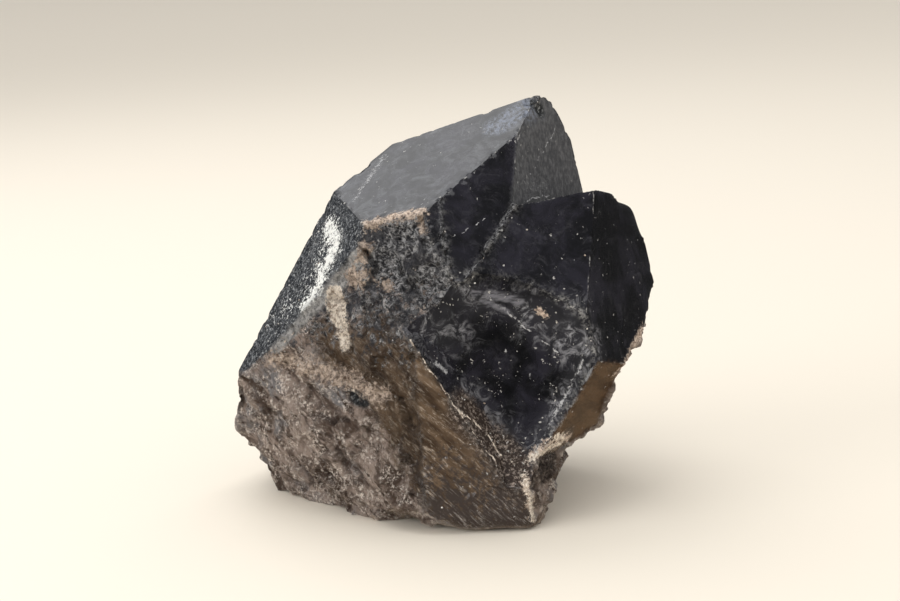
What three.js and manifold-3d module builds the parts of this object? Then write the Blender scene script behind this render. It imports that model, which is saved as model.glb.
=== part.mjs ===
// Smoky quartz specimen: a stout main crystal with a smaller one grown onto its right side.
// The two share one lattice, so each face of one is parallel to a face of the other.
// The foot is broken off the rock it grew on, and shell-shaped chips show along the front.
// Millimetres, +Z up, resting on Z = 0, origin at the bottom centre of the bounding box.

import * as THREE from 'three';
import { mergeVertices } from 'three/addons/utils/BufferGeometryUtils.js';
import Module from 'manifold-3d';

// The lattice, in degrees: how far the long axis leans, which way it leans (0 is +X),
// how the prism is turned about it, and the angle from it to the direction of a tip face.
const LEAN = 31.7;
const LEAN_BEARING = -4.9;
const PRISM_TURN = -148.9;
const TIP_TILT = 51.79;
const PRISM_TILT = 90;

// The faces of each crystal: [degrees around the long axis, distance from its centre].
const MAIN_CRYSTAL = {
  centre: [-2, 4, 30],
  prism: [[0, 21.9], [60, 25.4], [180, 24.1], [240, 19.9], [300, 16.8]],
  tip: [[0, 22.6], [60, 23.7], [120, 19.8], [180, 27.9], [240, 27.5], [300, 24.5]],
};
const SIDE_CRYSTAL = {
  centre: [8, 0, 22],
  prism: [[0, 24], [60, 21.6], [120, 18.2], [180, 20], [240, 15.5]],
  tip: [[60, 23.2], [120, 20.3], [180, 25.9], [240, 27.4], [300, 17]],
};

// Flat breaks: a point on each break, and the way the broken surface faces.
const MAIN_BREAKS = {
  footRight: { at: [10.9, -20, 11], facing: [0.83, -0.54, 0.1] },
  footUnderSideCrystal: { at: [12.2, -16, 1], facing: [0.92, -0.1, -0.36] },
};
const SIDE_BREAKS = {
  seamWithMain: { at: [6.6, -11.4, 42.5], facing: [-0.75, 0, 0.66] },
  lowerRight: { at: [21.8, -4, 11.9], facing: [0.84, 0.1, -0.53] },
  underside: { at: [19.5, -7, 10.9], facing: [0.4, -0.15, -0.9] },
};
const SHARED_BREAKS = {
  frontLeft: { at: [-25, -6.5, 27.5], facing: [-0.606, -0.796, -0.015] },
  frontLeftUndercut: { at: [-17.4, -7.1, 0], facing: [-0.714, -0.63, -0.307] },
  leftEnd: { at: [-37, 4, 13], facing: [-0.87, 0.1, -0.48] },
  leftBevel: { at: [-24.9, -6.5, 27.5], facing: [-0.65, -0.75, 0.19] },
  belowTipFace: { at: [-6.1, -21, 30.1], facing: [-0.338, -0.861, 0.381] },
  rest: { at: [0, 0, 0], facing: [0, 0, -1] },
};

// Shell-shaped chips: the middle of the mouth, the way it faces, the width across the mouth
// and the depth. A step is a flat wall where the crack stopped: a point on it and its facing.
const CHIPS = {
  frontHollow: {
    at: [8, -20.9, 24],
    facing: [0, -1, 0.05],
    across: 34,
    deep: 5,
    step: { at: [-6.1, -21, 30.1], facing: [0.705, -0.574, 0.416] },
  },
  belowTipLeft: { at: [-9, -16, 39.5], facing: [-0.4, -0.85, 0.3], across: 11, deep: 1.8 },
  belowTipRight: { at: [-4.5, -18.5, 36.5], facing: [-0.2, -0.9, 0.4], across: 10, deep: 1.6 },
  leftBevelNick: { at: [-11.5, -17, 33.5], facing: [-0.5, -0.85, 0.15], across: 9, deep: 1.1 },
  rightEdge: { at: [25.7, -6.5, 18.5], facing: [0.84, -0.15, -0.5], across: 15, deep: 1.8 },
  point: { at: [16, 4.5, 61], facing: [0.3, -0.5, 0.8], across: 5, deep: 0.8 },
  frontUndercut: { at: [-8, -15.5, 0], facing: [-0.4, -0.6, -0.7], across: 14, deep: 1.3 },
  leftFoot: { at: [-29, -2, 8], facing: [-0.75, -0.5, -0.4], across: 12, deep: 1.6 },
};

// The rough block that a crystal is cut from, and the waste taken off beyond each plane.
const BLOCK_SIZE = 160;
const WASTE_SIZE = 4 * BLOCK_SIZE;

// How finely a chip's round surface is faceted: a start, and one more step for this width.
const CHIP_FACETS = 4;
const CHIP_WIDTH_PER_FACET = 3;

const SMOKY_BLACK = 0x1c1a1d;
const GLASSY = 0.12;

const wasm = await Module();
wasm.setup();

const UP = new THREE.Vector3(0, 0, 1);
const radians = THREE.MathUtils.degToRad;

const lattice = new THREE.Matrix4()
  .makeRotationZ(radians(LEAN_BEARING))
  .multiply(new THREE.Matrix4().makeRotationY(radians(LEAN)))
  .multiply(new THREE.Matrix4().makeRotationZ(radians(PRISM_TURN)));

// A face's direction in space, from its angle around the long axis and its tilt from it.
function latticeDirection(around, tilt) {
  const outward = Math.sin(radians(tilt));
  return new THREE.Vector3(
    outward * Math.cos(radians(around)),
    outward * Math.sin(radians(around)),
    Math.cos(radians(tilt)),
  ).transformDirection(lattice);
}

// A closed geometry as a solid that can be joined and cut.
function solidFrom(geometry) {
  const bare = geometry.clone();
  bare.deleteAttribute('normal');
  bare.deleteAttribute('uv');
  const merged = mergeVertices(bare);
  return new wasm.Manifold(new wasm.Mesh({
    numProp: 3,
    vertProperties: new Float32Array(merged.attributes.position.array),
    triVerts: new Uint32Array(merged.index.array),
  }));
}

// Takes off everything beyond the plane through a point.
function cutFlat(solid, { at, facing }) {
  const direction = new THREE.Vector3(...facing).normalize();
  const waste = new THREE.BoxGeometry(WASTE_SIZE, WASTE_SIZE, WASTE_SIZE);
  waste.translate(0, 0, WASTE_SIZE / 2);
  waste.applyQuaternion(new THREE.Quaternion().setFromUnitVectors(UP, direction));
  waste.translate(...at);
  return solid.subtract(solidFrom(waste));
}

// Grows one crystal: a block cut back to its prism faces and its tip faces.
function growCrystal({ centre, prism, tip }) {
  const middle = new THREE.Vector3(...centre);
  const faceAt = (tilt) => ([around, distance]) => {
    const direction = latticeDirection(around, tilt);
    return {
      at: direction.clone().multiplyScalar(distance).add(middle).toArray(),
      facing: direction.toArray(),
    };
  };
  const block = new THREE.BoxGeometry(BLOCK_SIZE, BLOCK_SIZE, BLOCK_SIZE);
  block.translate(...centre);
  const faces = [...prism.map(faceAt(PRISM_TILT)), ...tip.map(faceAt(TIP_TILT))];
  return faces.reduce(cutFlat, solidFrom(block));
}

// Scoops out a chip with a ball whose cap has the mouth's width and depth.
function cutChip(solid, { at, facing, across, deep, step }) {
  const radius = (across * across / 4 + deep * deep) / (2 * deep);
  const outward = new THREE.Vector3(...facing).normalize();
  const centre = new THREE.Vector3(...at).addScaledVector(outward, radius - deep);
  const facets = Math.round(CHIP_FACETS + across / CHIP_WIDTH_PER_FACET);
  const ball = new THREE.IcosahedronGeometry(radius, facets);
  ball.translate(...centre.toArray());
  if (!step) {
    return solid.subtract(solidFrom(ball));
  }
  const keptSide = step.facing.map((part) => -part);
  return solid.subtract(cutFlat(solidFrom(ball), { at: step.at, facing: keptSide }));
}

const mainCrystal = Object.values(MAIN_BREAKS).reduce(cutFlat, growCrystal(MAIN_CRYSTAL));
const sideCrystal = Object.values(SIDE_BREAKS).reduce(cutFlat, growCrystal(SIDE_CRYSTAL));
const grownTogether = mainCrystal.add(sideCrystal);
const brokenOff = Object.values(SHARED_BREAKS).reduce(cutFlat, grownTogether);
const stone = Object.values(CHIPS).reduce(cutChip, brokenOff).getMesh();

const geometry = new THREE.BufferGeometry();
geometry.setAttribute('position', new THREE.BufferAttribute(stone.vertProperties, 3));
geometry.setIndex(new THREE.BufferAttribute(stone.triVerts, 1));
geometry.computeVertexNormals();
geometry.computeBoundingBox();
const middle = geometry.boundingBox.getCenter(new THREE.Vector3());
geometry.translate(-middle.x, -middle.y, -geometry.boundingBox.min.z);

const smokyQuartz = new THREE.Mesh(
  geometry,
  new THREE.MeshStandardMaterial({ color: SMOKY_BLACK, roughness: GLASSY, metalness: 0 }),
);
smokyQuartz.name = 'smoky_quartz_crystal';

const specimen = new THREE.Group();
specimen.add(smokyQuartz);

export default specimen;
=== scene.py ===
import math

import bmesh
import bpy
import numpy as np
from mathutils import Matrix, Vector
from mathutils.geometry import delaunay_2d_cdt
from mathutils.kdtree import KDTree


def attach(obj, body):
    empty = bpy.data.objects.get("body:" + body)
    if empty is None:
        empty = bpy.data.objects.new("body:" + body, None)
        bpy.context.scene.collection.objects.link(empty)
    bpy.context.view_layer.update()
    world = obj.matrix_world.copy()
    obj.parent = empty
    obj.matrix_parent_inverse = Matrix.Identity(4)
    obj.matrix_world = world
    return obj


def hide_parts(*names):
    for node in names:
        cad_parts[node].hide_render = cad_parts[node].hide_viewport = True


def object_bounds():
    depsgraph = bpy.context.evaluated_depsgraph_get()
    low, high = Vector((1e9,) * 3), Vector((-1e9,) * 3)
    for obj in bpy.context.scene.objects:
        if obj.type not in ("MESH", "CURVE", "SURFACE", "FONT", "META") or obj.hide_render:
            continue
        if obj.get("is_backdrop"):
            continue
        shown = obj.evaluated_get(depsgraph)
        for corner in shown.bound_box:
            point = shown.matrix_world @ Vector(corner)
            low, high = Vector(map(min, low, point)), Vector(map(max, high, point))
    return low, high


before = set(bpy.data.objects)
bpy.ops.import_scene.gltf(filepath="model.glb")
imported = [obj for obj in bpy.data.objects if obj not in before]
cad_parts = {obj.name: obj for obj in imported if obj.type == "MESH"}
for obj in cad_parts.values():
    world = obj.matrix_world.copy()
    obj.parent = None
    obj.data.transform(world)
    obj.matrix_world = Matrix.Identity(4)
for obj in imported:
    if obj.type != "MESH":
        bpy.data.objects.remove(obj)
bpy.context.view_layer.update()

scene = bpy.context.scene
MM = 0.001

# ---------------------------------------------------------------------------
# The stone's place for being looked at: a pale table, a soft box above and
# behind it, a weak fill in front, and a camera a little above the stone.
# ---------------------------------------------------------------------------
CAMERA_PLACE = Vector((1.5, -290.75, 90.0)) * MM
CAMERA_DOWN = math.radians(11.55)
CAMERA_ROLL = math.radians(-3.34)
LENS, SENSOR = 76.0, 36.0

camera = bpy.data.objects.new("camera", bpy.data.cameras.new("camera"))
camera.data.lens = LENS
camera.data.sensor_width = SENSOR
camera.data.clip_start = 0.01
camera.matrix_world = (
    Matrix.Translation(CAMERA_PLACE)
    @ Matrix.Rotation(math.pi / 2 - CAMERA_DOWN, 4, "X")
    @ Matrix.Rotation(CAMERA_ROLL, 4, "Z")
)
scene.collection.objects.link(camera)
scene.camera = camera
scene.view_settings.view_transform = "Standard"

TABLE_HALF = 3.0
TABLE_PALE = (0.88, 0.81, 0.70, 1)
table_mesh = bpy.data.meshes.new("table")
table_mesh.from_pydata(
    [(x, y, 0) for x, y in ((-1, -1), (1, -1), (1, 1), (-1, 1))], [], [(0, 1, 2, 3)]
)
table_mesh.transform(Matrix.Diagonal((TABLE_HALF, TABLE_HALF, 1, 1)))
table = bpy.data.objects.new("table", table_mesh)
scene.collection.objects.link(table)
table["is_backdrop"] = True
table.visible_glossy = False
table_finish = bpy.data.materials.new("pale table")
table_finish.use_nodes = True
table_shader = table_finish.node_tree.nodes["Principled BSDF"]
table_shader.inputs["Base Color"].default_value = TABLE_PALE
table_shader.inputs["Roughness"].default_value = 0.7
table_mesh.materials.append(table_finish)


def soft_box(name, place, aim, width, height, watts):
    """A light panel of a given size in metres, hung at a place and turned to its aim."""
    light = bpy.data.objects.new(name, bpy.data.lights.new(name, "AREA"))
    light.data.shape = "RECTANGLE"
    light.data.size = width
    light.data.size_y = height
    light.data.energy = watts
    light.location = place
    light.rotation_euler = (Vector(place) - Vector(aim)).to_track_quat("Z", "Y").to_euler()
    scene.collection.objects.link(light)


STONE_MIDDLE = (0, 0, 0.03)
soft_box("sky box", (-0.22, 0.33, 0.56), (0, 0, 0.05), 0.50, 0.44, 1.12)
soft_box("top light", (0.0, -0.10, 0.75), (0, -0.05, 0), 0.55, 0.45, 1.0)
soft_box("left fill", (-0.62, -0.28, 0.22), STONE_MIDDLE, 0.50, 0.40, 2.0)


class Recipe:
    """Adds nodes to one tree, so that a pattern reads as a sum of named steps."""

    def __init__(self, tree):
        self.tree = tree

    def feed(self, socket, value):
        if isinstance(value, bpy.types.NodeSocket):
            self.tree.links.new(value, socket)
        else:
            socket.default_value = value

    def add(self, kind, inputs=None, out=0, **settings):
        made = self.tree.nodes.new(kind)
        for name, value in settings.items():
            setattr(made, name, value)
        for name, value in (inputs or {}).items():
            self.feed(made.inputs[name], value)
        return made.outputs[out]

    def math(self, operation, *values, clamp=False):
        inputs = dict(enumerate(values))
        return self.add("ShaderNodeMath", inputs, operation=operation, use_clamp=clamp)

    def times(self, first, *others):
        for other in others:
            first = self.math("MULTIPLY", first, other)
        return first

    def plus(self, first, *others):
        for other in others:
            first = self.math("ADD", first, other)
        return first

    def less(self, first, second):
        return self.math("SUBTRACT", first, second)

    def ramp(self, value, low, high):
        inputs = {"Value": value, "From Min": low, "From Max": high}
        return self.add("ShaderNodeMapRange", inputs, interpolation_type="SMOOTHSTEP")

    def stretched(self, vector, scale):
        inputs = {0: vector, 1: scale}
        return self.add("ShaderNodeVectorMath", inputs, operation="MULTIPLY")

    def vector(self, operation, *values, out="Vector"):
        return self.add("ShaderNodeVectorMath", dict(enumerate(values)), out, operation=operation)

    def noise(self, vector, scale, detail=2.0, roughness=0.5, bend=0.0):
        inputs = {
            "Vector": vector, "Scale": scale, "Detail": detail,
            "Roughness": roughness, "Distortion": bend,
        }
        return self.add("ShaderNodeTexNoise", inputs)

    def wave(self, *settings):
        """Noise that swings from about -1 to 1."""
        return self.times(self.less(self.noise(*settings), 0.5), 2)

    def cells(self, vector, scale):
        """The outputs of a pattern of cells: Distance, Color and Position."""
        distance = self.add("ShaderNodeTexVoronoi", {"Vector": vector, "Scale": scale})
        return distance.node.outputs

    def parts(self, colour):
        """The three numbers of a random colour."""
        family = "Shader" if self.tree.type == "SHADER" else "Function"
        return self.add(family + "NodeSeparateColor", {0: colour}).node.outputs

    def swing(self, colour, size):
        """A random colour as a push in any direction, up to half a given size."""
        parts = self.parts(colour)
        push = self.add("ShaderNodeCombineXYZ", {"X": parts[0], "Y": parts[1], "Z": parts[2]})
        return self.stretched(self.vector("SUBTRACT", push, (0.5, 0.5, 0.5)), (size,) * 3)

    def facets(self, vector, scale):
        """Flat pieces, each tilted its own way, like a splintered surface."""
        cell = self.cells(vector, scale)
        tilt = self.swing(cell["Color"], 1)
        out = self.vector("SUBTRACT", vector, cell["Position"])
        return self.vector("DOT_PRODUCT", tilt, out, out="Value")

    def specks(self, vector, scale, share, size):
        """Round spots of uneven size, in a given share of the cells of a pattern."""
        cell = self.cells(vector, scale)
        chance, large = self.parts(cell["Color"])[:2]
        width = self.times(self.plus(large, 0.25), size)
        inside = self.ramp(self.less(width, cell["Distance"]), 0.0, 0.06)
        return self.times(inside, self.math("LESS_THAN", chance, share))

    def line(self, vector, *places):
        """How far a point is from a chain of straight lines, in the unit of the vector."""
        nearest = None
        for start, end in zip(places, places[1:]):
            run = Vector(end) - Vector(start)
            pull = run / run.length_squared
            along = self.vector("DOT_PRODUCT", vector, tuple(pull), out="Value")
            share = self.math("ADD", along, -pull.dot(Vector(start)), clamp=True)
            foot = self.vector("MULTIPLY_ADD", tuple(run), share, start)
            away = self.vector("DISTANCE", vector, foot, out="Value")
            nearest = away if nearest is None else self.math("MINIMUM", nearest, away)
        return nearest

    def most(self, first, *others):
        for other in others:
            first = self.math("MAXIMUM", first, other)
        return first

    def mix(self, share, first, second):
        """A blend of two colours, or of a colour and a pattern."""
        made = self.tree.nodes.new("ShaderNodeMix")
        made.data_type = "RGBA"
        self.feed(made.inputs[0], share)
        self.feed(made.inputs[6], first)
        self.feed(made.inputs[7], second)
        return made.outputs[2]

    def blend(self, share, first, second):
        """A blend of two numbers."""
        return self.add("ShaderNodeMix", {0: share, 2: first, 3: second})


# The room: pale for the eye, and in reflections warm table light from below, a dark
# band low down and in front, and a dim ceiling.
DARK_FRONT = (0.07, 0.07, 0.07, 1)
TABLE_GLOW = (0.42, 0.31, 0.20, 1)
CEILING = (0.20, 0.20, 0.22, 1)
SOFT_LIGHT = (0.90, 0.89, 0.87, 1)
BACKDROP = (1.0, 0.99, 0.97, 1)
world = bpy.data.worlds.new("studio")
scene.world = world
world.use_nodes = True
room = Recipe(world.node_tree)
room_shader = world.node_tree.nodes["Background"]
towards = room.add("ShaderNodeTexCoord", out="Generated")
height = room.add("ShaderNodeSeparateXYZ", {0: towards}, "Z")
depth = room.add("ShaderNodeSeparateXYZ", {0: towards}, "Y")
from_table = room.times(room.ramp(height, -0.2, -0.55), room.ramp(depth, 0.0, 0.3))
low_light = room.mix(from_table, DARK_FRONT, TABLE_GLOW)
high_light = room.mix(room.ramp(height, 0.0, 0.8), low_light, CEILING)
rays = room.tree.nodes.new("ShaderNodeLightPath").outputs
soft = room.mix(rays["Is Diffuse Ray"], high_light, SOFT_LIGHT)
pale = room.mix(rays["Is Camera Ray"], soft, BACKDROP)
room.feed(room_shader.inputs["Color"], pale)

# ---------------------------------------------------------------------------
# The stone: smoky quartz, one intergrown piece. Natural faces are flat and
# glassy, the foot and the middle are broken, the front has a hollow chip.
# First its form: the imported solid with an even, fine skin of triangles.
# ---------------------------------------------------------------------------
SKIN_STEP = 0.45 * MM
SEED = 7
FLAT_ANGLE = math.radians(0.6)
RIM_BULGE = 0.004

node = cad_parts["smoky_quartz_crystal"]
solid = bmesh.new()
solid.from_mesh(node.data)
bmesh.ops.remove_doubles(solid, verts=solid.verts, dist=0.05 * MM)
bmesh.ops.dissolve_degenerate(solid, dist=0.03 * MM, edges=solid.edges)
bmesh.ops.dissolve_limit(
    solid, angle_limit=FLAT_ANGLE, use_dissolve_boundaries=False,
    verts=solid.verts, edges=solid.edges, delimit=set(),
)
# Every border is split evenly. In the flat nets below its new points bow out by a hair, so
# that each net reaches all of them; on the stone they stay where they are.
bulge = {}
for edge in list(solid.edges):
    count = max(1, round(edge.calc_length() / SKIN_STEP))
    near = edge.verts[0]
    for done in range(1, count):
        edge, middle = bmesh.utils.edge_split(edge, near, 1 / (count - done + 1))
        edge = next(e for e in middle.link_edges if near not in e.verts)
        near = middle
        bulge[middle] = RIM_BULGE * (1 - (2 * done / count - 1) ** 2)
solid.verts.index_update()

chance = np.random.default_rng(SEED)


def points_inside(outline, step):
    """An even, slightly shaken net of points inside a flat outline, clear of its rim."""
    low, high = outline.min(0), outline.max(0)
    rows = np.arange(low[1], high[1], step * math.sqrt(3) / 2)
    columns = np.arange(low[0], high[0] + step, step)
    net = np.array([
        (x + (step / 2 if row % 2 else 0), y) for row, y in enumerate(rows) for x in columns
    ]).reshape(-1, 2)
    net += chance.uniform(-0.12, 0.12, net.shape) * step
    start, end = outline, np.roll(outline, -1, axis=0)
    along = end - start
    inside = np.zeros(len(net), bool)
    nearest = np.full(len(net), np.inf)
    for a, b, run in zip(start, end, along):
        crosses = (a[1] > net[:, 1]) != (b[1] > net[:, 1])
        if crosses.any():
            x_cross = a[0] + (net[:, 1] - a[1]) * run[0] / (run[1] or 1e-12)
            inside ^= crosses & (net[:, 0] < x_cross)
        share = np.clip(((net - a) @ run) / max(run @ run, 1e-18), 0, 1)
        nearest = np.minimum(nearest, np.linalg.norm(net - a - share[:, None] * run, axis=1))
    return net[inside & (nearest > 0.55 * step)]


# Each flat gets a net of triangles on its own plane. A triangle that runs backwards along
# the outline lies outside it and is left out.
points = [tuple(v.co) for v in solid.verts]
triangles, sources = [], []
flat_normals, flat_middles = [], []
for number, face in enumerate(solid.faces):
    normal = face.normal
    middle = face.calc_center_median()
    flat_normals.append(tuple(normal))
    flat_middles.append(tuple(middle))
    across = normal.orthogonal().normalized()
    upward = normal.cross(across)
    rim = [v.index for v in face.verts]
    backwards = set(zip(rim[1:] + rim[:1], rim))
    outline = np.array([
        ((v.co - middle).dot(across), (v.co - middle).dot(upward)) for v in face.verts
    ]) / MM
    along = np.roll(outline, -1, axis=0) - np.roll(outline, 1, axis=0)
    along /= np.linalg.norm(along, axis=1)[:, None]
    pushed = np.array([bulge.get(v, 0) for v in face.verts])[:, None]
    outline = outline + pushed * np.stack([along[:, 1], -along[:, 0]], axis=1)
    net = points_inside(outline, SKIN_STEP / MM)
    flat = [Vector(p) for p in outline] + [Vector(p) for p in net]
    spots, _, cells, origins, _, _ = delaunay_2d_cdt(
        flat, [], [list(range(len(rim)))], 1, 1e-6, True
    )
    names = []
    for spot, origin in zip(spots, origins):
        if origin and origin[0] < len(rim):
            names.append(rim[origin[0]])
        else:
            names.append(len(points))
            points.append(tuple(middle + (across * spot[0] + upward * spot[1]) * MM))
    for cell in cells:
        corners = [names[k] for k in cell]
        if not backwards & set(zip(corners, corners[1:] + corners[:1])):
            triangles.append(corners)
            sources.append(number)
solid.free()

# The lattice that both crystals share, as in the solid: its long axis and its turn.
LEAN, LEAN_BEARING, PRISM_TURN = map(math.radians, (31.7, -4.9, -148.9))
TIP_TILT, PRISM_TILT = math.radians(51.79), math.radians(90)
lattice = (
    Matrix.Rotation(LEAN_BEARING, 3, "Z")
    @ Matrix.Rotation(LEAN, 3, "Y")
    @ Matrix.Rotation(PRISM_TURN, 3, "Z")
)


def face_direction(around, tilt):
    """Which way a natural face looks, from its angle around the long axis and its tilt."""
    around = math.radians(around)
    return lattice @ Vector((
        math.sin(tilt) * math.cos(around), math.sin(tilt) * math.sin(around), math.cos(tilt)
    ))


# The ball that fits the front hollow: its mouth, which way it faces, width and depth.
HOLLOW_MOUTH = np.array((9.49, -22.885, 24.0)) * MM
HOLLOW_FACING = np.array((0, -1, 0.05)) / math.hypot(1, 0.05)
HOLLOW_ACROSS, HOLLOW_DEEP = 34 * MM, 5 * MM
hollow_radius = (HOLLOW_ACROSS ** 2 / 4 + HOLLOW_DEEP ** 2) / (2 * HOLLOW_DEEP)
hollow_centre = HOLLOW_MOUTH + HOLLOW_FACING * (hollow_radius - HOLLOW_DEEP)

# What each flat of the solid is: a natural face by its angle, or a hollow, or a break.
KINDS = ["broken", "hollow"] + [
    f"{form}{around}" for form in ("tip", "prism") for around in range(0, 360, 60)
]
directions = np.array([
    face_direction(around, tilt)
    for tilt in (TIP_TILT, PRISM_TILT) for around in range(0, 360, 60)
])
flat_normals, flat_middles = np.array(flat_normals), np.array(flat_middles)
closeness = flat_normals @ directions.T
flat_kind = np.where(closeness.max(1) > math.cos(FLAT_ANGLE), closeness.argmax(1) + 2, 0)
reach = np.linalg.norm(flat_middles - hollow_centre, axis=1)
flat_kind[abs(reach - hollow_radius) < 0.2 * MM] = 1
# The step where the hollow stops, at its left end, is as smooth as the hollow.
STEP_FACING = np.array((0.705, -0.574, 0.416))
NEARLY_PARALLEL = 0.995
flat_kind[flat_normals @ STEP_FACING > NEARLY_PARALLEL] = 1

# The skin, with the stray triangles outside it peeled away from their open rims.
PEELS = 20
skin = bpy.data.meshes.new("smoky_quartz")
skin.from_pydata(points, [], triangles)
kind_layer = skin.attributes.new("kind", "INT", "FACE")
kind_layer.data.foreach_set("value", flat_kind[sources].astype(np.int32))
closed = bmesh.new()
closed.from_mesh(skin)
for _ in range(PEELS):
    loose_faces = [f for f in closed.faces if any(e.is_boundary for e in f.edges)]
    bmesh.ops.delete(closed, geom=loose_faces, context="FACES")
bmesh.ops.recalc_face_normals(closed, faces=closed.faces)
closed.verts.index_update()
closed.faces.index_update()
kind_of = closed.faces.layers.int["kind"]

# Where the borders run: between two natural faces, and between a natural face and a break.
BORDER_ANGLE = math.radians(8)
borders = {"edge": [], "rim": []}
for edge in closed.edges:
    if len(edge.link_faces) == 2:
        kinds = sorted(f[kind_of] for f in edge.link_faces)
        if kinds[0] >= 2 and edge.calc_face_angle(0) > BORDER_ANGLE:
            borders["edge"] += [v.co.copy() for v in edge.verts]
        elif kinds[0] < 2 <= kinds[1]:
            borders["rim"] += [v.co.copy() for v in edge.verts]
closed.to_mesh(skin)
closed.free()

# The skin as rows of numbers: where each point is, and which kinds of flat meet at it.
count = len(skin.vertices)
place = np.zeros(count * 3)
skin.vertices.foreach_get("co", place)
place = place.reshape(-1, 3)
corner_kind = np.zeros(len(skin.polygons), np.int32)
skin.attributes["kind"].data.foreach_get("value", corner_kind)
corners = np.zeros(len(skin.polygons) * 3, np.int32)
skin.loops.foreach_get("vertex_index", corners)
uses = np.bincount(corners, minlength=count)


def share_of(*wanted):
    """For each point, the share of the flats around it that are of the wanted kinds."""
    numbers = [k for k, name in enumerate(KINDS) if name in wanted]
    hit = np.repeat(np.isin(corner_kind, numbers), 3)
    return np.bincount(corners, weights=hit, minlength=count) / uses


def near_to(spots, reach_mm):
    """1 at the given spots, falling to 0 at a distance from them."""
    tree = KDTree(len(spots))
    for number, spot in enumerate(spots):
        tree.insert(spot, number)
    tree.balance()
    away = np.array([tree.find(p)[2] for p in place])
    return np.clip(1 - away / (reach_mm * MM), 0, 1)


def painted(*strokes):
    """Soft strokes on the stone: each a reach in millimetres and a row of places."""
    paint = np.zeros(count)
    for reach_mm, *spots in strokes:
        spots = np.array(spots, float) * MM
        for a, b in zip(spots, np.vstack([spots[1:], spots[-1:]])):
            run = b - a
            share = np.clip((place - a) @ run / max(run @ run, 1e-12), 0, 1)
            away = np.linalg.norm(place - a - share[:, None] * run, axis=1)
            paint = np.maximum(paint, np.clip(1 - away / (reach_mm * MM), 0, 1))
    return paint


# The hollow is one smooth ball surface.
spoke = place - hollow_centre
in_hollow = share_of("hollow") > 0.99
in_hollow &= abs(np.linalg.norm(spoke, axis=1) - hollow_radius) < 0.4 * MM
spoke = spoke[in_hollow]
place[in_hollow] = hollow_centre + spoke * (
    hollow_radius / np.linalg.norm(spoke, axis=1)
)[:, None]
skin.vertices.foreach_set("co", place.ravel())

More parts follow.
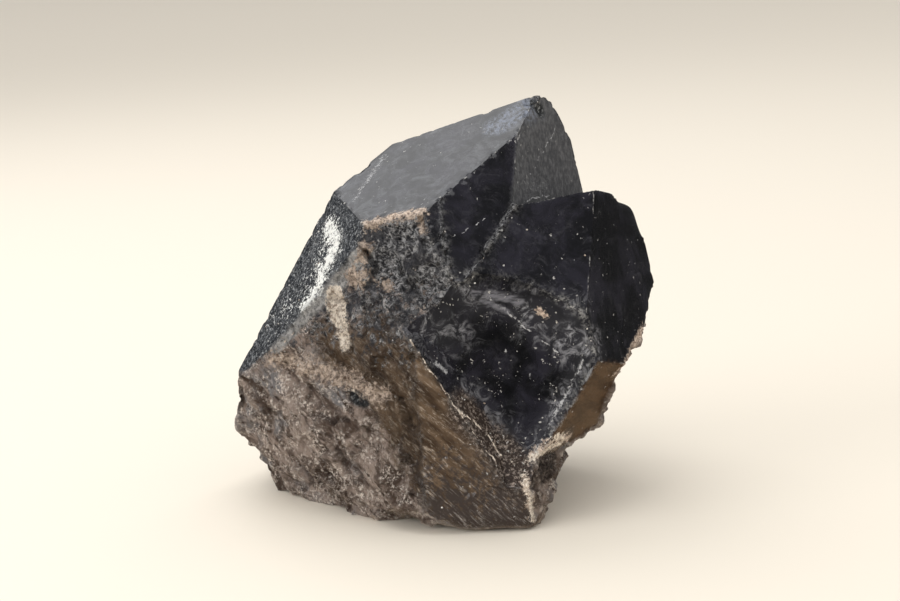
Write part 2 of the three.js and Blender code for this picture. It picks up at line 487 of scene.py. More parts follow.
# Where each relief and finish lies: for every point 0 where it is absent and 1 or more where
# it is full. The strokes follow what shows on the stone, in millimetres.
masks = {
    "broken": share_of("broken"),
    "hollow": share_of("hollow"),
    "striated": share_of(*(f"prism{a}" for a in range(0, 360, 60))),
    "left": share_of("prism0"),
    "front": share_of("prism60"),
    "brown_face": share_of("prism120"),
    "frosted": share_of("tip120") * (place @ face_direction(120, TIP_TILT) < 28 * MM),
    "settled": share_of("tip0", "tip300"),
    "edge": near_to(borders["edge"], 0.8),
    "rim": near_to(borders["rim"], 1.6),
    "crust": 0.75 * painted(
        (2.6, (-16, -5.6, 44.5), (-14.8, -9.3, 42.8), (-15.6, -10.2, 40.7), (-17.2, -9.9, 38.4)),
        (2.4, (-17.2, -9.9, 38.4), (-18.2, -10.8, 35.6), (-20.2, -9.6, 33)),
    ) + 0.45 * painted(
        (6.5, (-17, -5, 43), (-17.5, -8, 40), (-20.5, -7, 35), (-24, -4, 30)),
    ),
    "bevel": painted(
        (2.0, (-11.8, -15.1, 40.9), (-15.5, -13.1, 36.6), (-18.8, -11, 33.3), (-25.3, -7, 26.7)),
    ),
    "tan": painted(
        (2.2, (-10.8, -13.6, 45.3), (-8.9, -14.3, 45.9), (-6.6, -14.7, 46.5), (-2.1, -16.1, 47.3)),
        (1.3, (-2.1, -16.1, 47.3), (-1.8, -17.8, 44.5)),
        (2.2, (-10.5, -14.8, 42.5), (-11.2, -15.2, 40.5)),
        (2.6, (-13.5, -14.8, 37.5), (-11, -15.6, 38.2)),
        (1.8, (-8.2, -17.2, 37.5), (-7, -17.4, 36)),
        (3.6, (-26, -6, 24.5), (-19, -11.5, 23.5), (-13.4, -16.1, 22.2), (-9.6, -18.9, 20.9)),
        (1.6, (12.4, -21.5, 11.1), (15.5, -19.8, 12.7), (18, -16, 11.9)),
        (1.5, (10.9, -23.2, 7.9), (11.5, -24, 5.8), (12.1, -24, 2.7)),
        (1.6, (30.7, -4, 25.4), (28.4, -10.5, 22.7), (25.7, -14.3, 20.3)),
        (1.2, (14.2, -19, 32.4), (15.2, -19.2, 31.4)),
        (1.8, (-13.8, -14.1, 38.2), (-12.7, -14.8, 39.1), (-11.6, -16.3, 37)),
    ),
    "streaked": painted(
        (7.0, (-15, -13.5, 28), (-9, -18.5, 24), (-3, -22, 20), (3, -23, 9)),
        (5.0, (-9, -17.5, 31), (-4, -21, 27)),
        (6.0, (-8, -19, 20), (-4, -22, 13), (-2, -23, 8)),
    ),
    "veil": painted(
        (7.0, (-8, -17, 38), (-2, -19, 33), (0, -19.5, 30)),
        (4.5, (1.5, -19.5, 37), (5.5, -19.5, 34)),
        (5.5, (13, -18.8, 32), (17, -19.4, 30), (20, -19.9, 26.5)),
        (2.6, (12.4, -21.5, 11.1), (16.8, -19.8, 18), (20.4, -19.9, 24.4)),
        (4.0, (3, -20.5, 20), (8, -20, 13)),
        (3.5, (-5, -17.5, 39.5), (-3.4, -18.3, 38.4), (0.7, -20.2, 33.3)),
        (4.0, (17.3, -18.9, 27.6), (19.2, -19.6, 29), (18.9, -20.1, 32.2)),
    ),
    "rusty": painted(
        (4.5, (3, -22.5, 19), (7.5, -21.6, 12), (10, -22, 8)),
        (3.0, (18, -17, 12), (14, -20.5, 8)),
    ),
    "pit": painted(
        (1.9, (-13.8, -15.9, 19.9), (-12.6, -16.6, 19.6)),
        (1.7, (16.1, 1.8, 60.4), (17.4, 3.4, 59)),
    ),
    "cream_mark": painted(
        (0.70, (1.7, -23.2, 19), (3.0, -22.3, 17.6)),
        (1.4, (10.3, -22.8, 10.0), (10.9, -23.2, 7.9), (11.5, -24, 5.8), (12.3, -23.8, 1.2)),
        (1.7, (11.5, -22.4, 10.4), (14.4, -20.2, 11.4), (16.7, -16.9, 11.6)),
        (1.9, (15.5, -19.8, 13.2), (17.2, -18.2, 12.6)),
        (0.70, (-14.1, -15.5, 20.9), (-13.8, -15.7, 20.6)),
    ) + 1.7 * painted(
        (2.8, (-15.9, -13.2, 35.0), (-15.2, -14.0, 32.4)),
        (2.1, (-15.2, -14.0, 32.2), (-14.6, -15.0, 30.0)),
        (1.5, (-14.6, -15.0, 30.0), (-14.1, -15.4, 28.0)),
    ),
    "white_mark": painted(
        (0.70, (9.2, -17.9, 26.3), (9.3, -17.9, 26.1)),
        (0.60, (12.7, -18.2, 22.5), (12.6, -18.3, 21.9)),
        (0.90, (20.4, -19.9, 24.4), (16.8, -19.6, 17.9), (12.4, -21.5, 11.1)),
        (1.30, (-1.0, -21.7, 25.8), (0.4, -21.2, 24.4)),
        (0.50, (6.2, -10.9, 52.0), (7.2, -10.2, 52.6)),
        (0.65, (13.1, -6.0, 55.8), (15.2, -2.5, 58.2)),
    ) + 0.75 * painted(
        (2.8, (-7.4, 2.0, 53.4), (-9.8, -2.4, 50.9)),
        (1.9, (-9.8, -2.4, 50.9), (-12.1, -6.8, 48.1)),
    ),
    "ray": painted(
        (0.6, (4.8, -20, 35.7), (7.5, -19.7, 35.0)),
        (1.2, (7.5, -19.7, 35.0), (11.5, -19.2, 33.9)),
        (0.8, (6.2, -19.6, 34.3), (9.8, -18.9, 32.1)),
        (0.5, (4.9, -20, 35.5), (5.5, -19.3, 32.0)),
    ),
    "dusty": painted((7.0, (13, -8, 49), (17, -1, 48))),
    "etched": painted((3.6, (10.5, -1.5, 57.5), (13.5, 0, 59.2), (15.3, 0.8, 60.3))),
    "nibbled": painted(
        (5.0, (26, 1, 50), (29.3, 2, 47), (31.5, 3, 43)),
        (3.5, (12, -24, 0), (12.5, -23, 2)),
        (2.5, (-9, -20, 0), (0, -23, 0), (12, -24, 0)),
    ),
}
for name, values in masks.items():
    layer = skin.attributes.new(name, "FLOAT", "POINT")
    layer.data.foreach_set("value", values.astype(np.float32))

# Its relief. The breaks are lumpy, splintered and grainy, the hollow has faint ripples
# round the point it was struck at, and the prism faces are finely grooved.
RIPPLE_MIDDLE = tuple(c * MM for c in (5.0, -20.0, 35.5))
SIZES = {
    "Lump height": 1.3, "Splinter height": 0.38, "Grain height": 0.10, "Ripple height": 0.05,
    "Groove depth": 0.04, "Chip depth": 0.40, "Pit depth": 0.8, "Crust height": 0.5,
}
ROUNDING = 40
relief = bpy.data.node_groups.new("relief", "GeometryNodeTree")
relief.is_modifier = True
relief.interface.new_socket("Geometry", in_out="INPUT", socket_type="NodeSocketGeometry")
for name in SIZES:
    relief.interface.new_socket(name, in_out="INPUT", socket_type="NodeSocketFloat")
relief.interface.new_socket("Geometry", in_out="OUTPUT", socket_type="NodeSocketGeometry")
cut = Recipe(relief)
given = relief.nodes.new("NodeGroupInput").outputs


def mask(name):
    inputs = {"Name": name}
    return cut.add("GeometryNodeInputNamedAttribute", inputs, "Attribute", data_type="FLOAT")


def noted(geometry, name, value, kind="FLOAT"):
    """Keeps a value on every point under a name, for the finish to read."""
    inputs = {"Geometry": geometry, "Name": name, "Value": value}
    made = relief.nodes.new("GeometryNodeStoreNamedAttribute")
    made.data_type = kind
    for socket, content in inputs.items():
        cut.feed(made.inputs[socket], content)
    return made.outputs[0]


spot = cut.add("GeometryNodeInputPosition")
in_mm = cut.stretched(spot, (1 / MM,) * 3)
along_axes = [
    cut.vector("DOT_PRODUCT", spot, tuple(lattice.col[k] / MM), out="Value") for k in range(3)
]
grown = cut.add("ShaderNodeCombineXYZ", dict(enumerate(along_axes)))
drawn_out = cut.stretched(grown, (1, 1, 1.7))
lumps = cut.plus(
    cut.wave(drawn_out, 0.11, 2.0, 0.5, 0.4), cut.times(cut.wave(in_mm, 0.28, 2.0, 0.5, 0.3), 0.55)
)
splinters = cut.plus(
    cut.facets(drawn_out, 0.20), cut.facets(in_mm, 0.42), cut.times(cut.facets(in_mm, 0.9), 0.8),
)
grain = cut.wave(in_mm, 1.1, 3.0, 0.6)
from_blow = cut.vector("DISTANCE", spot, RIPPLE_MIDDLE, out="Value")
RIPPLE_RATE = 2.1 / MM
ripples = cut.math("SINE", cut.plus(
    cut.times(from_blow, RIPPLE_RATE), cut.times(cut.wave(in_mm, 0.12, 3.0), 4)
))
groove_place = cut.add("ShaderNodeCombineXYZ", {
    "X": cut.times(cut.wave(in_mm, 0.08), 0.6), "Z": along_axes[2],
})
grooves = cut.wave(cut.stretched(groove_place, (1, 1, 1.1)), 1.0, 4.0, 0.65)
chips = cut.ramp(cut.noise(in_mm, 0.5, 3.0, 0.62), 0.48, 0.72)
rough_lift = cut.plus(
    cut.times(given["Lump height"], lumps),
    cut.times(given["Splinter height"], splinters),
    cut.times(given["Grain height"], grain),
)
lift = cut.plus(
    cut.times(cut.plus(mask("broken"), cut.times(mask("front"), 0.22)), rough_lift),
    cut.times(mask("hollow"), given["Ripple height"], cut.plus(ripples, cut.wave(in_mm, 0.25, 3.0))),
    cut.times(mask("striated"), given["Groove depth"], grooves),
    cut.times(cut.most(mask("edge"), mask("rim")), given["Chip depth"], chips, -1),
    cut.times(
        cut.math("MINIMUM", cut.plus(mask("tan"), cut.times(mask("crust"), 0.5)), 1.0),
        given["Crust height"], cut.plus(cut.wave(in_mm, 0.9, 4.0, 0.7), 0.15), 2,
    ),
    cut.times(mask("pit"), given["Pit depth"], -1),
)
offset = cut.add("ShaderNodeVectorMath", {
    0: cut.add("GeometryNodeInputNormal"), "Scale": cut.times(lift, MM),
}, operation="SCALE")
shaped = noted(given["Geometry"], "grown", grown, "FLOAT_VECTOR")
shaped = noted(shaped, "raised", rough_lift)
shaped = cut.add("GeometryNodeSetPosition", {"Geometry": shaped, "Offset": offset})
rounded = cut.add("GeometryNodeBlurAttribute", {
    "Value": cut.add("GeometryNodeInputPosition"), "Iterations": ROUNDING,
    "Weight": mask("nibbled"),
}, data_type="FLOAT_VECTOR")
shaped = cut.add("GeometryNodeSetPosition", {"Geometry": shaped, "Position": rounded})

# Crumbs of quartz and grit, a fifth of a millimetre across, caught on the rough parts.
SEED_CRUMBS, SEED_TURN, SEED_TONE, SEED_SIZE = 11, 12, 13, 14
CRUMBS_PER_SQUARE_METRE = 260000
CRUMB_RADIUS = 0.13 * MM
thickly = cut.plus(
    cut.times(mask("broken"), 0.3), cut.times(mask("rim"), 0.2), cut.times(mask("crust"), 1.0),
    cut.times(mask("veil"), 0.35), cut.times(mask("tan"), 0.6), 0.012,
)
clumped = cut.ramp(cut.noise(in_mm, 0.35, 3.0, 0.6), 0.42, 0.68)
scattered = cut.add("GeometryNodeDistributePointsOnFaces", {
    "Mesh": shaped, "Density": cut.times(thickly, clumped, CRUMBS_PER_SQUARE_METRE),
    "Seed": SEED_CRUMBS,
}, "Points")
crumb = cut.add("GeometryNodeMeshIcoSphere", {"Radius": CRUMB_RADIUS, "Subdivisions": 1}, "Mesh")
turn = cut.add("FunctionNodeRandomValue", {
    "Min": (0, 0, 0), "Max": (math.tau,) * 3, "Seed": SEED_TURN,
}, data_type="FLOAT_VECTOR")
size = cut.add("FunctionNodeRandomValue", {
    "Min": (0.5, 0.5, 0.5), "Max": (1.6, 1.6, 1.2), "Seed": SEED_SIZE,
}, data_type="FLOAT_VECTOR")
tone = cut.add(
    "FunctionNodeRandomValue", {2: 0.0, 3: 1.0, "Seed": SEED_TONE}, 1, data_type="FLOAT"
)
scattered = noted(scattered, "tone", tone)
crumbs = cut.add("GeometryNodeInstanceOnPoints", {
    "Points": scattered, "Instance": noted(crumb, "crumb", 1.0), "Rotation": turn, "Scale": size,
})
both = relief.nodes.new("GeometryNodeJoinGeometry")
cut.feed(both.inputs[0], crumbs)
cut.feed(both.inputs[0], shaped)
finish_slot = cut.add("GeometryNodeSetMaterial", {"Geometry": cut.add(
    "GeometryNodeRealizeInstances", {"Geometry": both.outputs[0]}
)})
cut.feed(relief.nodes.new("NodeGroupOutput").inputs[0], finish_slot)

# Its finish: near-black smoky glass, brown where it is thin, milky and gritty on the breaks, with
# white powder, tan and cream crusts, pale edges of wear and painted glint, painted glints on the
# front and the foot, painted shade in the foot's dips, and fine scratches.
quartz = bpy.data.materials.new("smoky quartz")
quartz.use_nodes = True
tint = Recipe(quartz.node_tree)
surface = quartz.node_tree.nodes["Principled BSDF"]
finish_slot.node.inputs["Material"].default_value = quartz


def painted_mask(name, out="Fac"):
    return tint.add("ShaderNodeAttribute", out=out, attribute_name=name)


where = tint.stretched(tint.add("ShaderNodeTexCoord", out="Object"), (1 / MM,) * 3)
ingrown = painted_mask("grown", "Vector")
wobble = tint.add("ShaderNodeTexNoise", {"Vector": where, "Scale": 0.6, "Detail": 3.0}, "Color")
bent = tint.vector("ADD", where, tint.swing(wobble, 1.6))
broken, hollow, frosted, striated, veil, crust, on_left, raised = (
    painted_mask(name)
    for name in ("broken", "hollow", "frosted", "striated", "veil", "crust", "left", "raised")
)

# The dark glass: cloudy, with grey wisps where there are cracks inside.
GLASS_DARK = (0.004, 0.004, 0.005, 1)
GLASS_CLOUD = (0.019, 0.018, 0.026, 1)
GLASS_VEIL = (0.05, 0.05, 0.056, 1)
GLASS_WISP = (0.30, 0.30, 0.32, 1)
cloud = tint.noise(where, 0.16, 5.0, 0.62, 0.8)
glass = tint.mix(tint.ramp(cloud, 0.38, 0.68), GLASS_DARK, GLASS_CLOUD)
fibres = tint.times(
    tint.ramp(tint.noise(where, 0.5, 9.0, 0.75, 1.4), 0.46, 0.70),
    tint.ramp(tint.noise(where, 0.22, 3.0), 0.34, 0.60),
)
veiled = tint.times(fibres, tint.plus(tint.times(veil, 1.6), 0.09))
glass = tint.mix(tint.times(veil, 0.5), glass, GLASS_VEIL)
glass = tint.mix(tint.math("MINIMUM", veiled, 0.9), glass, GLASS_WISP)

# A breath of dust has settled on the faces that look up.
SETTLED_DUST = (0.105, 0.11, 0.12, 1)
settled = tint.times(
    painted_mask("settled"), tint.ramp(tint.noise(where, 0.35, 9.0, 0.72, 1.0), 0.40, 0.72), 0.6
)
glass = tint.mix(settled, glass, SETTLED_DUST)

# The frosted back face of the tip: grey, with bright streaks down its length.
FROST_DARK = (0.070, 0.071, 0.076, 1)
FROST_STREAK = (0.17, 0.17, 0.175, 1)
FROST_DUST = (0.34, 0.34, 0.335, 1)
down_tip = tint.stretched(ingrown, (2.6, 2.6, 0.35))
frost = tint.mix(
    tint.ramp(tint.noise(down_tip, 0.6, 6.0, 0.72), 0.40, 0.72), FROST_DARK, FROST_STREAK
)
dusty = tint.ramp(tint.plus(
    tint.wave(where, 2.2, 8.0, 0.85), tint.times(painted_mask("dusty"), 0.45)
), 0.42, 0.75)
frost = tint.mix(dusty, frost, FROST_DUST)
body = tint.mix(frosted, glass, frost)

# The other prism faces: dark, faintly banded across, and a little brown low down.
SIDE_DARK = (0.006, 0.006, 0.007, 1)
SIDE_DARK_LOW = (0.030, 0.019, 0.012, 1)
SIDE_PALE = (0.027, 0.027, 0.032, 1)
SIDE_PALE_LOW = (0.105, 0.072, 0.048, 1)
SIDE_WISP = (0.24, 0.23, 0.22, 1)
BROWNEST_BELOW, DARK_ABOVE = 4, 24
across = tint.stretched(ingrown, (0.25, 0.25, 2.2))
banded = tint.ramp(tint.noise(across, 0.8, 6.0, 0.7), 0.40, 0.68)
height_up = tint.add("ShaderNodeSeparateXYZ", {0: where}, "Z")
by_shaken_height = tint.plus(height_up, tint.times(tint.wave(where, 0.12, 4.0), 14))
low = tint.ramp(by_shaken_height, DARK_ABOVE, BROWNEST_BELOW)
side_dark = tint.mix(low, SIDE_DARK, SIDE_DARK_LOW)
side_pale = tint.mix(low, SIDE_PALE, SIDE_PALE_LOW)
side = tint.mix(
    tint.math("MINIMUM", veiled, 0.6), tint.mix(banded, side_dark, side_pale), SIDE_WISP
)
body = tint.mix(striated, body, side)

# Streaks that run down to the right on the front: short pale dashes on clear brown, which are
# painted glints of light.
BROWN_DARK = (0.050, 0.030, 0.017, 1)
BROWN_PALE = (0.15, 0.10, 0.062, 1)
BROWN_GLINT = (0.50, 0.42, 0.34, 1)
CLEAR_BROWN_DARK = (0.045, 0.021, 0.008, 1)
CLEAR_BROWN_PALE = (0.085, 0.045, 0.021, 1)
STREAK_RUN, STREAK_UP = (0.70, -0.05, -0.71), (0.71, 0.0, 0.70)
streaked = tint.add("ShaderNodeCombineXYZ", {
    "X": tint.times(tint.vector("DOT_PRODUCT", where, STREAK_RUN, out="Value"), 0.5),
    "Y": tint.times(tint.vector("DOT_PRODUCT", where, STREAK_UP, out="Value"), 2.6),
    "Z": tint.add("ShaderNodeSeparateXYZ", {0: where}, "Y"),
})
smoke = tint.ramp(tint.noise(streaked, 0.22, 4.0, 0.62), 0.36, 0.64)
# Painted glints: short pale dashes of light along the streaks.
glint_dashes = tint.times(
    tint.ramp(tint.noise(streaked, 1.1, 8.0, 0.78, 0.5), 0.50, 0.66),
    tint.ramp(tint.noise(where, 0.45, 5.0, 0.7), 0.36, 0.60),
)
brown = tint.mix(smoke, BROWN_DARK, BROWN_PALE)
brown = tint.mix(glint_dashes, brown, BROWN_GLINT)
clear_brown = tint.mix(smoke, CLEAR_BROWN_DARK, CLEAR_BROWN_PALE)
body = tint.mix(painted_mask("brown_face"), body, clear_brown)

# The breaks: milky brown at the foot, grey and glinting higher up, streaked between.
FOOT_DARK = (0.085, 0.055, 0.040, 1)
FOOT_PALE = (0.38, 0.30, 0.255, 1)
FOOT_GREY = (0.24, 0.23, 0.235, 1)
FOOT_STREAK = (0.07, 0.045, 0.032, 1)
FOOT_SUGAR_GLINT = (0.86, 0.77, 0.69, 1)
FOOT_SPOT = (0.66, 0.57, 0.50, 1)
FOOT_RIDGE_HIGHLIGHT = (0.42, 0.35, 0.31, 1)
FOOT_DIP_SHADE = (0.08, 0.052, 0.04, 1)
GREY_BROWN = (0.055, 0.042, 0.036, 1)
GREY_GLINT = (0.40, 0.36, 0.33, 1)
CRUSHED_DARK = (0.018, 0.018, 0.022, 1)
CRUSHED_PALE = (0.52, 0.515, 0.52, 1)
CRUSHED_GREY = (0.040, 0.040, 0.047, 1)
BEVEL_DARK = (0.14, 0.138, 0.136, 1)
BEVEL_PALE = (0.48, 0.465, 0.45, 1)
RUST_DARK = (0.036, 0.026, 0.021, 1)
RUST_PALE = (0.34, 0.28, 0.24, 1)
PIT_DARK = (0.02, 0.022, 0.024, 1)
PIT_PALE = (0.30, 0.31, 0.31, 1)
FOOT_TOP, CRUSHED_FROM = 28, 33
GREY_BELOW, BROWN_ABOVE = 5, 13
blotch = tint.noise(where, 0.20, 5.0, 0.62, 0.6)
fine = tint.noise(where, 1.8, 8.0, 0.8)
patchy = tint.wave(where, 0.9, 8.0, 0.78, 0.5)
gritty = tint.wave(where, 2.2, 8.0, 0.85)
foot = tint.mix(tint.ramp(blotch, 0.40, 0.58), FOOT_DARK, FOOT_PALE)
foot = tint.mix(tint.ramp(tint.noise(where, 0.16, 4.0, 0.55), 0.50, 0.66), foot, FOOT_GREY)
foot = tint.mix(
    tint.ramp(tint.noise(streaked, 0.5, 7.0, 0.72, 0.6), 0.50, 0.62), foot, FOOT_STREAK
)
# Pale sugary specks on the foot: crushed grains, partly painted glints of light off tiny facets.
sugar_and_glints = tint.times(
    tint.ramp(fine, 0.50, 0.58), tint.ramp(tint.noise(where, 0.42, 4.0, 0.65, 0.5), 0.42, 0.56)
)
foot = tint.mix(sugar_and_glints, foot, FOOT_SUGAR_GLINT)
foot = tint.mix(tint.times(tint.specks(bent, 0.55, 0.22, 0.24), 0.75), foot, FOOT_SPOT)
# Painted light and shade by the relief: raised lumps are paler, as wear and painted highlight, and
# low dips are darker, as painted shade.
foot = tint.mix(tint.times(tint.ramp(raised, 0.2, 1.5), 0.6), foot, FOOT_RIDGE_HIGHLIGHT)
foot = tint.mix(tint.times(tint.ramp(raised, -0.3, -1.4), 0.7), foot, FOOT_DIP_SHADE)
# The grey-brown low part carries the same painted glints, as pale dashes.
greyer = tint.mix(glint_dashes, GREY_BROWN, GREY_GLINT)
by_height = tint.plus(height_up, tint.times(patchy, 30))
brown = tint.mix(tint.ramp(by_height, BROWN_ABOVE, GREY_BELOW), brown, greyer)
body = tint.mix(painted_mask("front"), body, brown)
foot = tint.mix(tint.ramp(tint.plus(painted_mask("streaked"), patchy), 0.1, 0.5), foot, brown)
crushed = tint.mix(
    tint.ramp(tint.noise(where, 1.2, 10.0, 0.85, 0.9), 0.47, 0.58), CRUSHED_DARK, CRUSHED_PALE
)
crushed = tint.mix(tint.times(tint.ramp(cloud, 0.46, 0.58), 0.85), crushed, CRUSHED_GREY)
rough_part = tint.mix(tint.ramp(by_height, FOOT_TOP, CRUSHED_FROM), foot, crushed)
bevel = tint.mix(tint.ramp(fine, 0.40, 0.58), BEVEL_DARK, BEVEL_PALE)
rough_part = tint.mix(tint.ramp(painted_mask("bevel"), 0.2, 0.5), rough_part, bevel)
body = tint.mix(broken, body, rough_part)
rust = tint.mix(tint.ramp(fine, 0.50, 0.62), RUST_DARK, RUST_PALE)
body = tint.mix(tint.ramp(painted_mask("rusty"), 0.1, 0.6), body, rust)
pit = tint.mix(tint.ramp(fine, 0.5, 0.62), PIT_DARK, PIT_PALE)
body = tint.mix(tint.ramp(painted_mask("pit"), 0.1, 0.5), body, pit)

# What lies on the stone: tan and cream crusts, and white powder on the left face.
TAN_DARK = (0.13, 0.085, 0.06, 1)
TAN_PALE = (0.74, 0.60, 0.49, 1)
LEFT_DARK = (0.014, 0.017, 0.022, 1)
LEFT_PALE = (0.30, 0.31, 0.32, 1)
POWDER = (0.90, 0.90, 0.87, 1)
tan_share = tint.ramp(tint.plus(
    tint.times(painted_mask("tan"), 1.4), tint.times(patchy, 1.6), tint.times(gritty, 1.8)
), 0.76, 1.0)
tan = tint.mix(tint.ramp(tint.noise(where, 1.6, 6.0, 0.75), 0.36, 0.64), TAN_DARK, TAN_PALE)
body = tint.mix(tan_share, body, tan)
left_face = tint.mix(tint.ramp(gritty, -0.02, 0.26), LEFT_DARK, LEFT_PALE)
body = tint.mix(on_left, body, left_face)
powder = tint.ramp(tint.plus(
    tint.times(crust, 1.4), tint.times(patchy, 1.5), tint.times(gritty, 2.2)
), 0.86, 1.06)
body = tint.mix(powder, body, POWDER)

# Cream seams and white scratches, and a painted glint along the front face's right edge. A thin one
# has a width in millimetres and a row of places on the stone, and a wide one is a mask.
CREAM_DARK = (0.28, 0.21, 0.155, 1)
CREAM_PALE = (0.92, 0.82, 0.70, 1)
WHITE_SCRATCH = (0.66, 0.66, 0.67, 1)
CREAM_AND_GLINT_LINES = [
    (0.22, (-21.5, -9.3, 30.0), (-25.3, -7.1, 25.9)),
    # Along the front face's right edge: a painted glint, bright and broken, with cream dots.
    (0.14, (-4.6, -22.9, 29.8), (0.8, -23.3, 20.5), (6.6, -23, 11.1)),
    (0.17, (3.0, -22.3, 17.6), (5.5, -21.3, 15.3), (7.5, -21.6, 11.4), (9.6, -22, 9.9)),
]
WHITE_LINES = [
    (0.20, (12.0, -11.4, 46.8), (9.4, -16.7, 43.8), (6.2, -19.7, 40.3), (4.2, -20.2, 38.5)),
    (0.08, (2.5, -17.4, 43.7), (7.3, -14.8, 45.4), (12.0, -11.1, 47.5)),
    (0.14, (12.8, -9.8, 46.8), (15.6, -4.5, 46.6), (18.0, -0.1, 46.1)),
    (0.18, (6.5, -19.6, 35.1), (9.9, -18.6, 32.2), (12.8, -18.3, 29.1), (16.8, -18.7, 25.8)),
    (0.09, (20.4, -12.2, 48.4), (20.1, -16.0, 40.0), (20.2, -18.9, 31.0)),
    (0.10, (19.5, 6.2, 55.6), (14.7, -4.9, 50.2)),
]
FAR_AWAY = 9.0
THIN_REACH, WIDE_STRENGTH, WIDE_CUT = 1.25, 1.9, 0.85
MARK_GRIT, MARK_FADE = 2.2, 0.35


def drawn(lines, wide_marks, level):
    """One where a mark runs, crumbling into grains towards its rim."""
    nearest = FAR_AWAY
    for width, *places in lines:
        reach = tint.math("DIVIDE", tint.line(bent, *places), width)
        nearest = tint.math("MINIMUM", reach, nearest)
    wide = tint.less(tint.times(painted_mask(wide_marks), WIDE_STRENGTH), WIDE_CUT)
    inside = tint.most(tint.less(THIN_REACH, nearest), wide)
    return tint.ramp(tint.plus(inside, tint.times(gritty, MARK_GRIT)), level, level + MARK_FADE)


# The cream lines include the painted glint on the front face's edge.
cream_and_glint = drawn(CREAM_AND_GLINT_LINES, "cream_mark", 0.30)
white = drawn(WHITE_LINES, "white_mark", 0.45)
crumbly = tint.mix(tint.ramp(fine, 0.39, 0.57), CREAM_DARK, CREAM_PALE)
body = tint.mix(cream_and_glint, body, crumbly)
body = tint.mix(tint.times(white, 0.65), body, WHITE_SCRATCH)
pale = tint.most(cream_and_glint, white)

# The etched patch near the point, and the fan of rays by the blow.
ETCHED_BLUE = (0.24, 0.27, 0.34, 1)
RAY_GREY = (0.19, 0.19, 0.215, 1)
etched = tint.times(
    tint.ramp(painted_mask("etched"), 0.0, 0.7),
    tint.ramp(tint.noise(tint.stretched(where, (1, 0.4, 1)), 1.8, 7.0, 0.75), 0.40, 0.62),
)
body = tint.mix(tint.times(etched, 0.8), body, ETCHED_BLUE)
ray = tint.times(
    tint.ramp(painted_mask("ray"), 0.1, 0.6),
    tint.ramp(tint.noise(tint.stretched(where, (0.5, 1, 2)), 0.9, 5.0, 0.65), 0.30, 0.62),
)
body = tint.mix(ray, body, RAY_GREY)

# Pale edges, partly wear and partly painted glints along them, and specks all over, thicker on the
# rough parts.
WEAR_AND_GLINT_PALE = (0.48, 0.47, 0.45, 1)
SPECK_PALE = (0.62, 0.60, 0.57, 1)
CRUMB_PALE = (0.80, 0.79, 0.76, 1)
CRUMB_BROWN = (0.50, 0.38, 0.28, 1)
edge, rim = painted_mask("edge"), painted_mask("rim")
wear_and_glint = tint.most(
    tint.times(tint.ramp(edge, 0.75, 1.0), tint.ramp(tint.noise(where, 0.7, 7.0, 0.75), 0.52, 0.64)),
    tint.times(
        tint.ramp(rim, 0.1, 0.9), tint.plus(tint.times(veil, 0.8), 0.15),
        tint.ramp(tint.noise(where, 1.1, 9.0, 0.82), 0.48, 0.60),
    ),
)
body = tint.mix(tint.times(wear_and_glint, 0.8), body, WEAR_AND_GLINT_PALE)
crowded = tint.ramp(tint.noise(where, 0.25, 3.0), 0.40, 0.65)
jitter = tint.add("ShaderNodeTexNoise", {"Vector": where, "Scale": 3.5, "Detail": 3.0}, "Color")
ragged = tint.vector("ADD", where, tint.swing(jitter, 0.9))
specks = tint.most(
    tint.specks(ragged, 0.40, tint.times(crowded, 0.11), 0.11),
    tint.specks(ragged, 1.1, tint.times(crowded, 0.07), 0.18),
    tint.specks(ragged, 2.2, tint.times(crowded, tint.plus(
        tint.times(tint.most(broken, hollow), 0.25), 0.06
    )), 0.30),
)
body = tint.mix(tint.times(specks, 0.7), body, SPECK_PALE)
crumb_colour = tint.mix(painted_mask("tone"), CRUMB_PALE, CRUMB_BROWN)
loose = painted_mask("crumb")
body = tint.mix(loose, body, crumb_colour)

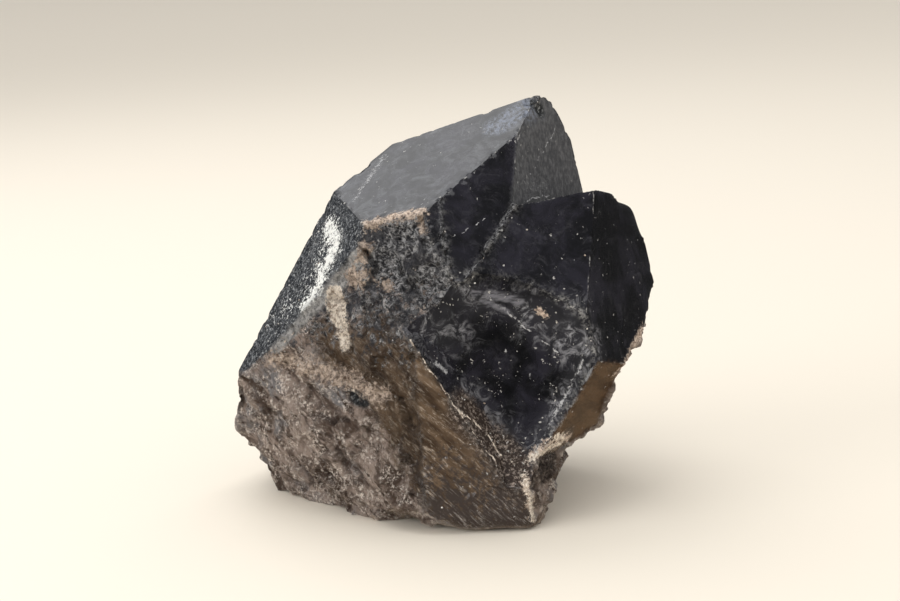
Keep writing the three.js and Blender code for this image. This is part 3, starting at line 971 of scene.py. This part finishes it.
# How matt each part is, and the finest unevenness, which is too small for the form.
MATT_GLASS, MATT_SIDE, MATT_BREAK, MATT_FROST = 0.09, 0.22, 0.28, 0.42
MATT_WORN, MATT_POWDER = 0.5, 0.85
QUARTZ_BENDS_LIGHT = 1.544
BUMP_HEIGHT = 1 * MM
roughness = tint.blend(tint.most(broken, on_left), MATT_GLASS, MATT_BREAK)
roughness = tint.blend(striated, roughness, MATT_SIDE)
roughness = tint.blend(frosted, roughness, MATT_FROST)
roughness = tint.blend(tint.most(wear_and_glint, specks, etched, loose), roughness, MATT_WORN)
roughness = tint.blend(tint.most(powder, tan_share, pale), roughness, MATT_POWDER)
tint.feed(surface.inputs["Base Color"], body)
tint.feed(surface.inputs["Roughness"], roughness)
surface.inputs["IOR"].default_value = QUARTZ_BENDS_LIGHT
bumps = tint.plus(
    tint.times(tint.facets(where, 1.1), tint.plus(broken, tint.times(on_left, 0.6))),
    tint.times(
        tint.noise(where, 2.2, 6.0, 0.8),
        tint.plus(tint.times(broken, 0.7), tint.times(crust, 0.4), 0.01),
    ),
    tint.times(striated, tint.noise(across, 0.9, 5.0, 0.7), 0.20),
)
tint.feed(surface.inputs["Normal"], tint.add(
    "ShaderNodeBump", {"Height": bumps, "Strength": 1.0, "Distance": BUMP_HEIGHT}
))

# The stone itself: the skin goes through the relief once and stays as a plain mesh.
stone = bpy.data.objects.new("smoky_quartz", skin)
scene.collection.objects.link(stone)
modifier = stone.modifiers.new("relief", "NODES")
modifier.node_group = relief
for item in relief.interface.items_tree:
    if item.in_out == "INPUT" and item.name in SIZES:
        modifier[item.identifier] = SIZES[item.name]
with_relief = stone.evaluated_get(bpy.context.evaluated_depsgraph_get())
finished = bpy.data.meshes.new_from_object(with_relief)
finished.name = "smoky_quartz"
stone.modifiers.clear()
stone.data = finished

# Nothing reaches below the table, and breaks in the form stay crisp.
SHARP = math.radians(28)
spots = np.zeros(len(finished.vertices) * 3)
finished.vertices.foreach_get("co", spots)
spots = spots.reshape(-1, 3)
spots[:, 2] = np.maximum(spots[:, 2], 0)
finished.vertices.foreach_set("co", spots.ravel())
finished.update()
finished.shade_smooth()
finished.set_sharp_from_angle(angle=SHARP)
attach(stone, "root")
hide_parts("smoky_quartz_crystal")

# How large the finished stone is.
low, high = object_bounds()
